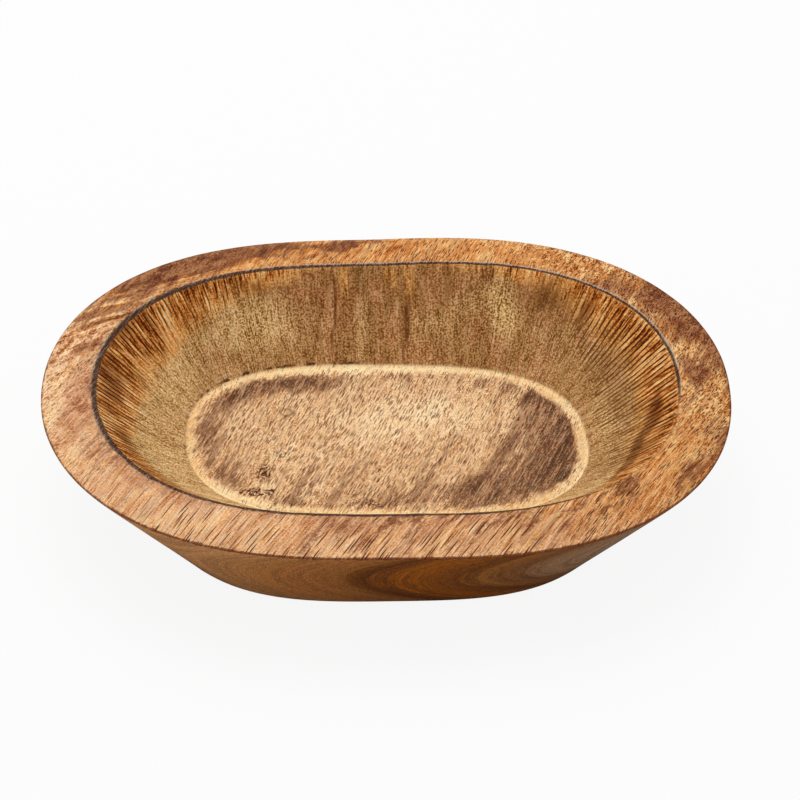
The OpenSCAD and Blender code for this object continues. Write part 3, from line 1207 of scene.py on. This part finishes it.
@dataclass(frozen=True)
class CarvedWood:
    """Oiled open-pored wood: sanded on the rim and outside, rough and stained inside."""

    ridge_count: int

    def build(self) -> bpy.types.Material:
        """Makes the material.

        Returns:
            The wood.
        """
        g = Graph(bpy.data.materials.new("carved_wood"))
        w = WoodGrain(g, self.ridge_count)
        colour = g.mix(self.outside(g, w), self.on_rim(g, w), w.rim)
        colour = g.mix(colour, self.on_wall(g, w), w.wall)
        colour = g.mix(colour, self.on_floor(g, w), w.floor)
        grooved = w.ragged(w.groove, 0.25, 0.75, grit=0.3)
        colour = g.mix(colour, paint("421f0c"), grooved * 0.9)
        brink = w.ragged(w.brink, 0.2, 0.9, fibre=0.36, grit=0.3)
        colour = g.mix(colour, paint("642608"), brink * 0.85)
        burnt = w.ragged(w.burn, 0.2, 0.75, hair=0.14, grit=0.16)
        burn_colour = g.tones(w.hair * 0.5 + w.dust * 0.5, "1e0f06", "422a1d", "70574a")
        colour = g.mix(colour, burn_colour, burnt * 0.94)
        # Painted highlight: a pale grey line along the crest of the lip's bevel.
        painted_highlight = w.ragged(w.shine, 0.35, 1.0, hair=0.4, grit=0.4)
        colour = g.mix(colour, paint("c6aa98"), painted_highlight * 0.75)
        relief = self.relief(w, burnt)
        bump = g.add("ShaderNodeBump", {}, {"Strength": 1.0, "Distance": MM, "Height": relief}, "Normal")
        roughness = 0.6 + w.wall * 0.14 + w.floor * 0.14 - burnt * 0.15 + w.swings(grit=0.12)
        inputs = {"Base Color": colour, "Roughness": roughness, "Normal": bump, "Specular IOR Level": 0.05}
        shader = g.add("ShaderNodeBsdfPrincipled", {}, inputs)
        g.add("ShaderNodeOutputMaterial", {}, {"Surface": shader})
        return g.owner

    @staticmethod
    def strokes(w: WoodGrain) -> Signal:
        """Open pores cut by the surface: long at the front, shorter at the back, shortest at the right.

        Args:
            w: the wood's patterns.

        Returns:
            Their strength.
        """
        longer = w.long_pores * (1 - w.middling) + w.mid_pores * w.middling
        pores = longer * (1 - w.short) + w.short_pores * w.short
        flecks = w.flecks * (w.middling * 0.12 * (1 - w.short) + w.short * 0.36)
        return (pores * (w.streak * 0.5 + w.cloud * 0.4 + 0.5) + flecks) * w.strokes

    @staticmethod
    def relief(w: WoodGrain, burnt: Signal) -> Signal:
        """Height of the surface in millimetres: pores, fibres, ridges and torn spots.

        Args:
            w: the wood's patterns.
            burnt: how far the lip is burnt.

        Returns:
            The height.
        """
        height = (w.fibre * 0.04 + w.grit * 0.05) * (w.rim + w.floor)
        height = height - CarvedWood.strokes(w) * w.rim * 0.06 - w.thin_pores * w.floor * 0.04
        height = height + w.wall * (w.hatch * 0.06 + w.worm * 0.1)
        height = height + w.land * w.ridge_strength * 0.3
        return height - w.floor * w.torn * w.squiggle * 0.2 - burnt * 0.05 - w.groove * 0.3

    @staticmethod
    def on_rim(g: Graph, w: WoodGrain) -> Signal:
        """Colour of the rim: orange tan to peach, with streaks, brown stains and dark pores.

        Args:
            g: the material's graph.
            w: the wood's patterns.

        Returns:
            The colour.
        """
        long_streaks = w.swings(cloud=0.14, streak=0.26, smear=0.26, fibre=0.24, hair=0.12)
        short_streaks = w.swings(cloud=0.3, blotch=0.34, grit=0.26, fibre=0.16)
        texture = long_streaks * (1 - w.short) + short_streaks * w.short
        brown = (w.streak * 0.5 + w.smear * 0.5).step(0.4, 0.85) * (1 - w.short * 0.6) * w.strokes
        tone = 0.8 + texture * 1.15 - brown * 0.4 + w.swings(dust=0.26, grit=0.1)
        tone = tone + (w.rings - 0.6) * w.pale * 0.6
        orange = g.tones(tone, "5a2206", "b0642c", "eaa25c", "ffdb9a")
        peach = g.tones(tone, "54200a", "b27342", "eeb27e", "ffe2ba")
        colour = g.mix(orange, peach, w.pale_side - w.cloud.step(0.4, 1.0) * 0.45)
        rose = w.ragged(w.warm, 0.1, 0.9, streak=0.4, grit=0.3)
        colour = g.mix(colour, g.tones(tone, "6a3e2c", "9c6444", "c4845e", "e2ac84"), rose * 0.75)
        stained = w.ragged(w.dark, 0.15, 0.9, cloud=0.4, blotch=0.4, fibre=0.2, streak=0.35, grit=0.3)
        colour = g.mix(colour, g.tones(tone, "28120a", "4c281a", "744128", "a86e46"), stained * 0.92)
        sooty = w.ragged(w.soot, 0.15, 0.7, fibre=0.3, grit=0.25)
        colour = g.mix(colour, g.tones(tone, "3e2820", "6c5046", "947664"), sooty * 0.65)
        pores = CarvedWood.strokes(w)
        colour = g.mix(colour, paint("8c3e10"), pores.step(0.0, 0.5) * 0.6)
        colour = g.mix(colour, paint("843a0c"), w.fibre.step(0.62, 1.0) * (1 - w.short) * w.strokes * 0.45)
        return g.mix(colour, paint("441000"), pores.step(0.25, 0.8) * 0.92)

    @staticmethod
    def on_wall(g: Graph, w: WoodGrain) -> Signal:
        """Colour of the inner wall: olive brown, orange near the ends' lip, with ridges down the slope and
        painted shade between them; its paler, khaki parts carry painted light too.

        Args:
            g: the material's graph.
            w: the wood's patterns.

        Returns:
            The colour.
        """
        ends = w.warm.step(0.0, 1.0)
        texture = w.swings(hatch=ends * 0.3 + 0.18, worm=0.38 - ends * 0.06, combed=ends * 0.24 + 0.03)
        tone = 0.5 + texture + w.swings(sweep=ends * 0.26 + 0.16)
        brown = g.tones(tone, "46240a", "89582b", "b6844d", "e2bb84")
        reddish = g.tones(tone, "46200a", "925630", "c48a58", "eec394")
        brown = g.mix(brown, reddish, (w.sweep * 0.5 + w.cloud * 0.5).step(0.3, 0.8) * 0.8)
        khaki = g.tones(tone + w.swings(worm=0.16, hatch=0.16), "6a4418", "b88a4e", "ecc082", "ffe6b4")
        # Khaki where the pale share is high, which includes the painted light on the left and front walls.
        brown = g.mix(brown, khaki, (w.pale + w.swings(combed=0.2)) * 0.85)
        orange = g.tones(tone, "4c1600", "b4601c", "e8a256", "ffd898")
        warm = (w.warm * (1.1 + w.swings(combed=0.4, sweep=0.6))).step(0.1, 0.9)
        colour = g.mix(brown, orange, warm)
        lit = warm * (1 - warm) * 3
        colour = g.mix(colour, g.tones(tone, "8a5218", "dc9a4c", "ffc878", "ffe2a0"), lit * 0.4)
        stained = w.ragged(w.dark * 1.1, 0.3, 1.0, combed=0.7, hatch=0.4, worm=0.3)
        colour = g.mix(colour, g.tones(tone, "301404", "5c2c0c", "8a4f1c"), stained * 0.8)
        # Painted shade: the hollows between the tool ridges are darkened, the lands are left light.
        valley_shade = (1 - w.land) * w.ridge_strength * (w.broken * 0.7 + 0.5)
        return g.mix(colour, g.mix(paint("6b4119"), paint("421000"), warm), valley_shade.step(0.1, 0.65) * 0.95)

    @staticmethod
    def on_floor(g: Graph, w: WoodGrain) -> Signal:
        """Colour of the floor: pale tan, streaks along the grain, purple brown stains and a pale band.

        Args:
            g: the material's graph.
            w: the wood's patterns.

        Returns:
            The colour.
        """
        texture = w.swings(fibre=0.14, streak=0.22, grit=0.24, smear=0.08, hair=0.24, dust=0.58)
        tone = 0.69 + texture * (1 - w.band * 0.4) + w.swings(cloud=0.12, blotch=0.1)
        tone = tone + w.pale * 0.26 + w.band * 0.18
        colour = g.tones(tone, "7e4622", "c68e5c", "edbe8b", "ffe3b6")
        edge = w.swings(streak=0.7, fibre=0.5, hair=0.5, dust=0.3, smear=0.5) + w.thin_pores * 0.3
        stained = (w.dark * (1 - w.band) - w.pale * 0.6 + edge).step(0.06, 1.02)
        lines = tone + w.swings(dust=-0.34, fibre=0.22, smear=0.2)
        colour = g.mix(colour, g.tones(lines, "1a0c0a", "36201a", "6a4733", "b68862"), stained * 0.92)
        colour = g.mix(colour, g.tones(tone, "b06c32", "e6a660", "f9ca86", "ffe8b4"), w.band * 0.7)
        mark = w.thin_pores * (w.cloud * 0.5 + w.blotch * 0.5 + 0.35) * (1 - w.band * 0.6)
        colour = g.mix(colour, paint("9c5214"), mark.step(0.0, 0.5) * 0.55)
        colour = g.mix(colour, paint("521a00"), mark.step(0.25, 0.8) * 0.9)
        colour = g.mix(colour, paint("5a280a"), w.dots * (w.cloud * 0.7 + 0.2) * 0.85 + w.knot * 0.7)
        return g.mix(colour, paint("4c1e04"), (w.torn * 1.3).step(0.3, 0.9) * w.squiggle * 0.95)

    @staticmethod
    def outside(g: Graph, w: WoodGrain) -> Signal:
        """Colour of the outer wall and base: satin brown with bowed growth rings, orange within them, and
        painted shade that darkens it within 18 mm of the floor.

        The bows' colours follow the ring's level, from 7 cm before the first dark bow to 10 cm past it.

        Args:
            g: the material's graph.
            w: the wood's patterns.

        Returns:
            The colour.
        """
        first, last = BOWS[0][0], BOWS[-1][0]
        stops = [((level - first) / (last - first), paint(code)) for level, code in BOWS]
        wander = w.swings(rings=0.4, fine_rings=0.2)
        place = (w.level + wander - first) * (1 / (last - first))
        bands = g.add("ShaderNodeValToRGB", {"stops": stops}, {0: place}, "Color")
        lines = g.add("ShaderNodeMath", {"operation": "SINE"}, {0: w.level * 17.0 + w.rings * 6.0})
        within = w.level.step(-1.5, 0.5)
        shade = 1 + w.swings(rings=0.34, fine_rings=within * 0.18 + 0.1, satin=1.0)
        shade = shade + lines * w.fine_rings * within * 0.16
        # Painted shade: darker towards the floor, down to 0.88 of the colour at the bottom.
        return g.shaded(bands, shade * (w.height.step(0.0, 1.8) * 0.14 + 0.88))


@dataclass(frozen=True)
class PhotoCamera:
    """The camera of the photograph, found from the outlines of the rim, lip, floor and base."""

    azimuth: float = -4.554
    elevation: float = 40.752
    roll: float = 2.499
    distance: float = 1.1
    right_shift: float = 4.998 * MM
    up_shift: float = -8.441 * MM
    focal_pixels: float = 2543.0
    frame_pixels: float = 800.0
    sensor: float = 36.0

    def build(self, target_height: float) -> bpy.types.Object:
        """Makes the camera, which looks past a point above the origin.

        Args:
            target_height: height of the point that the angles turn round.

        Returns:
            The camera.
        """
        azimuth, elevation, roll = (math.radians(v) for v in (self.azimuth, self.elevation, self.roll))
        back = Vector(
            (
                math.sin(azimuth) * math.cos(elevation),
                -math.cos(azimuth) * math.cos(elevation),
                math.sin(elevation),
            )
        )
        level = Vector((math.cos(azimuth), math.sin(azimuth), 0))
        upright = back.cross(level)
        right = math.cos(roll) * level + math.sin(roll) * upright
        up = math.cos(roll) * upright - math.sin(roll) * level
        data = bpy.data.cameras.new("photo_camera")
        data.sensor_width = self.sensor
        data.lens = self.focal_pixels / self.frame_pixels * self.sensor
        data.clip_end = 20.0
        camera = bpy.data.objects.new("photo_camera", data)
        bpy.context.scene.collection.objects.link(camera)
        target = Vector((0, 0, target_height)) + right * self.right_shift + up * self.up_shift
        place = target + back * self.distance
        turned = Matrix((right, up, back)).transposed().to_4x4()
        camera.matrix_world = Matrix.Translation(place) @ turned
        bpy.context.scene.camera = camera
        return camera


@dataclass(frozen=True)
class Studio:
    """A white floor, a large soft lamp overhead and an even sky."""

    floor_half: float = 6.0
    floor_tone: float = 0.8
    floor_gap: float = 0.1 * MM
    sky: float = 0.55
    key_size: float = 1.4
    key_power: float = 16.0
    key_place: Triple = (-0.25, 0.55, 1.5)

    def build(self) -> None:
        """Makes the floor, the lamp and the sky."""
        self.make_floor()
        self.make_lamp("key_lamp", self.key_place, self.key_size, self.key_power)
        self.make_sky()

    def make_floor(self) -> None:
        """Makes the pale floor, which is white to the camera except for the object's shadow."""
        half = self.floor_half
        mesh = bpy.data.meshes.new("studio_floor")
        corners = ((-half, -half), (half, -half), (half, half), (-half, half))
        mesh.from_pydata([(x, y, -self.floor_gap) for x, y in corners], [], [(0, 1, 2, 3)])
        floor = bpy.data.objects.new("studio_floor", mesh)
        bpy.context.scene.collection.objects.link(floor)
        g = Graph(bpy.data.materials.new("studio_floor"))
        paper = g.add("ShaderNodeBsdfDiffuse", {}, {"Color": (self.floor_tone,) * 3 + (1.0,)})
        white = g.add("ShaderNodeEmission", {}, {"Color": (1, 1, 1, 1), "Strength": 1.0})
        seen = g.add("ShaderNodeLightPath", {}, {}, "Is Camera Ray")
        surface = g.add("ShaderNodeMixShader", {}, {0: seen * 0.9, 1: paper, 2: white})
        g.add("ShaderNodeOutputMaterial", {}, {"Surface": surface})
        mesh.materials.append(g.owner)

    @staticmethod
    def make_lamp(name: str, place: Triple, size: float, power: float) -> None:
        """Makes a square lamp that faces the bowl.

        Args:
            name: the lamp's name.
            place: where it stands.
            size: its side.
            power: its power in watts.
        """
        data = bpy.data.lights.new(name, "AREA")
        data.size = size
        data.energy = power
        lamp = bpy.data.objects.new(name, data)
        bpy.context.scene.collection.objects.link(lamp)
        back = Vector(place)
        lamp.matrix_world = Matrix.Translation(back) @ back.to_track_quat("Z", "Y").to_matrix().to_4x4()

    def make_sky(self) -> None:
        """Makes the even sky, which is white to the camera."""
        g = Graph(bpy.data.worlds.new("studio_sky"))
        seen = g.add("ShaderNodeLightPath", {}, {}, "Is Camera Ray")
        inputs = {"Color": (1, 1, 1, 1), "Strength": seen * (1.0 - self.sky) + self.sky}
        g.add("ShaderNodeOutputWorld", {}, {"Surface": g.add("ShaderNodeBackground", {}, inputs)})
        bpy.context.scene.world = g.owner


def main() -> None:
    """Builds the bowl, the camera and the studio."""
    scene = bpy.context.scene
    scene.view_settings.view_transform = "Standard"
    form = BowlForm()
    carved = CarvedBowl(form)
    bowl = carved.build()
    bowl.data.materials.append(CarvedWood(ridge_count=carved.ridge_count).build())
    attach(bowl, "root")
    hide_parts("bowl")
    PhotoCamera().build(form.height)
    Studio().build()


if __name__ == "__main__":
    main()
